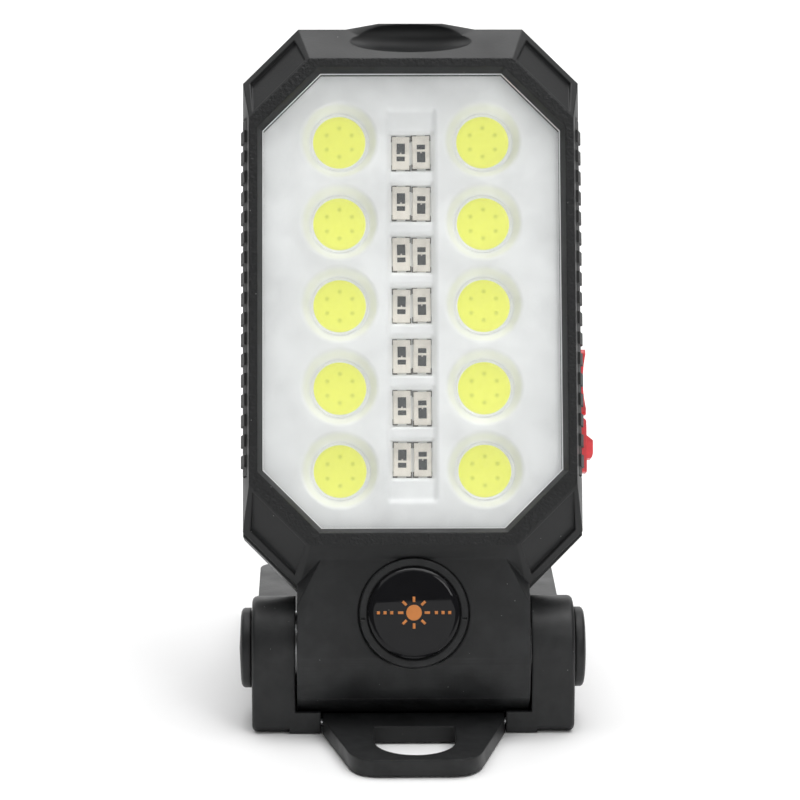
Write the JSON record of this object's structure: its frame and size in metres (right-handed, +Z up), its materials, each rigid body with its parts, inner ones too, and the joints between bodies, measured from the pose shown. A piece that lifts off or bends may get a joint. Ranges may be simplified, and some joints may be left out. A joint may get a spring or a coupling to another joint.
{
  "type": "folding work light",
  "caption": "Pocket work light: octagonal lamp head with a LED panel behind a clear window, tilting on a friction hinge over a flat magnetic base with a fold-out hanging hook.",
  "frame": {"origin": "Middle of the base's flat underside, on the surface that the light stands on.", "axes": "+Z is up, away from the surface; -Y is the lit face and the hook's side; +X is the side with the power button and the charging socket."},
  "size_m": [0.0598, 0.0867, 0.1137],
  "materials": {
    "black_abs": "fine moulded texture, satin",
    "black_rubber": "soft matt rubber",
    "white_plastic": "satin white moulding",
    "clear_lens": "clear polished plastic",
    "phosphor": "yellow phosphor gel",
    "led_package": "cream moulded package",
    "aluminium_board": "white lacquered aluminium board",
    "circuit_board": "green lacquer",
    "cell_wrap": "shrink wrap",
    "red_plastic": "satin red moulding",
    "red_rubber": "soft red rubber",
    "steel": "zinc plated steel",
    "chrome": "bright metallised",
    "gloss_black": "polished resin dome"
  },
  "bodies": {
    "base": {"base_body": "black_abs", "base_cover": "black_abs", "magnet_left": "chrome", "magnet_right": "chrome", "base_screw_front_left": "steel", "base_screw_front_right": "steel", "base_screw_rear_left": "steel", "base_screw_rear_right": "steel", "hinge_bolt": "steel", "hinge_nut": "steel", "friction_washer_left": "steel", "friction_washer_right": "steel", "hinge_cap_left": "black_abs", "hinge_cap_right": "black_abs", "hook_pin": "steel"},
    "head": {"front_casing": "black_abs", "rear_casing": "black_abs", "badge_ring": "black_abs", "side_grip_left": "black_rubber", "side_grip_right": "black_rubber", "lens_gasket": "black_rubber", "reflector_panel": "white_plastic", "charge_light_window": "white_plastic", "lens": "clear_lens", "torch_lens": "clear_lens", "cob_led_left_1": "phosphor", "cob_led_right_1": "phosphor", "cob_led_left_2": "phosphor", "cob_led_right_2": "phosphor", "cob_led_left_3": "phosphor", "cob_led_right_3": "phosphor", "cob_led_left_4": "phosphor", "cob_led_right_4": "phosphor", "cob_led_left_5": "phosphor", "cob_led_right_5": "phosphor", "smd_led_pair_1": "led_package", "smd_led_pair_2": "led_package", "smd_led_pair_3": "led_package", "smd_led_pair_4": "led_package", "smd_led_pair_5": "led_package", "smd_led_pair_6": "led_package", "smd_led_pair_7": "led_package", "torch_led": "led_package", "led_board": "aluminium_board", "driver_board": "circuit_board", "battery_cell": "cell_wrap", "tact_switch": "steel", "charging_socket": "steel", "hinge_bush": "steel", "casing_screw_lower_left": "steel", "casing_screw_lower_right": "steel", "casing_screw_upper_left": "steel", "casing_screw_upper_right": "steel", "torch_reflector": "chrome", "badge_dome": "gloss_black"},
    "hook": {"hanging_hook": "black_abs"},
    "button": {"power_button": "red_plastic"},
    "cover": {"socket_cover": "red_rubber"}
  },
  "joints": [
    {"name": "head_tilt", "type": "hinge", "parent": "base", "child": "head", "pos_m": [0, -0.02415, 0.0122], "axis": [1, 0, 0], "range_deg": [-69, 45]},
    {"name": "hook_swing", "type": "hinge", "parent": "base", "child": "hook", "pos_m": [0, -0.03135, 0.0015], "axis": [1, 0, 0], "range_deg": [-20, 90]},
    {"name": "button_press", "type": "slide", "parent": "head", "child": "button", "axis": [-1, 0, 0], "range_m": [0, 0.0005], "stiffness_N_per_m": 2000, "springref_m": -0.0002},
    {"name": "cover_flap", "type": "hinge", "parent": "head", "child": "cover", "pos_m": [0.02875, -0.01292, 0.04816], "axis": [0, -0.9336, 0.3584], "range_deg": [0, 100]}
  ]
}
